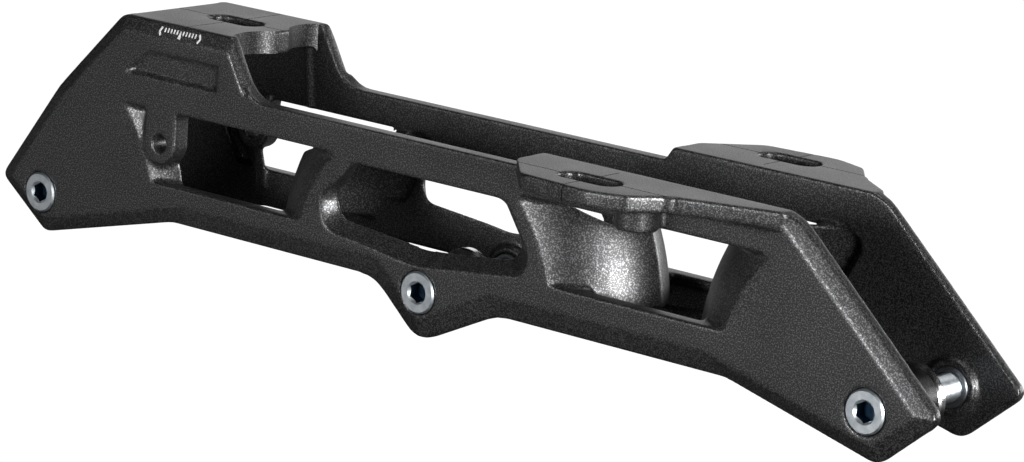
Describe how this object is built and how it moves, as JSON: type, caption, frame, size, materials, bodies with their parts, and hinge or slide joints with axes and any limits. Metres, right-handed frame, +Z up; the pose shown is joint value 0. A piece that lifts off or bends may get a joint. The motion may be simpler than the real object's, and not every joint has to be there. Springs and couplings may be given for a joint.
{
  "type": "inline_skate_frame",
  "caption": "Black cast inline skate frame with raised heel platform, staggered toe lugs, open side windows, axle bolts and bearing spacers.",
  "frame": {"origin": "on the middle plane between the side walls, under the middle of the length, at the level of the lowest edge", "axes": "+X runs to the toe, +Y to the side opposite the axle heads, +Z up to the boot"},
  "size_m": [0.26, 0.0706, 0.0556],
  "materials": {
    "black_coat": "fine textured black powder coat with a faint sparkle on cast alloy",
    "zinc_steel": "blue-white zinc plated steel",
    "turned_metal": "bright turned metal",
    "insert_steel": "plain steel"
  },
  "bodies": {
    "frame": {"frame_casting": "black_coat", "rear_insert": "insert_steel", "middle_insert": "insert_steel", "front_insert": "insert_steel"},
    "rear_axle": {"rear_axle": "zinc_steel"},
    "middle_axle": {"middle_axle": "zinc_steel"},
    "front_axle": {"front_axle": "zinc_steel"},
    "rear_spacer": {"rear_spacer": "turned_metal"},
    "middle_spacer": {"middle_spacer": "turned_metal"},
    "front_spacer": {"front_spacer": "turned_metal"}
  },
  "joints": [
    {"name": "rear_axle_turn", "type": "hinge", "parent": "frame", "child": "rear_axle", "pos_m": [-0.11646, 0, 0.01012], "axis": [0, 1, 0], "continuous": true},
    {"name": "middle_axle_turn", "type": "hinge", "parent": "frame", "child": "middle_axle", "pos_m": [-0.00096, 0, 0.01012], "axis": [0, 1, 0], "continuous": true},
    {"name": "front_axle_turn", "type": "hinge", "parent": "frame", "child": "front_axle", "pos_m": [0.11454, 0, 0.01012], "axis": [0, 1, 0], "continuous": true},
    {"name": "rear_spacer_slide", "type": "slide", "parent": "rear_axle", "child": "rear_spacer", "axis": [0, 1, 0], "range_m": [0, 0.0118]},
    {"name": "middle_spacer_slide", "type": "slide", "parent": "middle_axle", "child": "middle_spacer", "axis": [0, 1, 0], "range_m": [0, 0.0118]},
    {"name": "front_spacer_slide", "type": "slide", "parent": "front_axle", "child": "front_spacer", "axis": [0, 1, 0], "range_m": [0, 0.0118]}
  ]
}
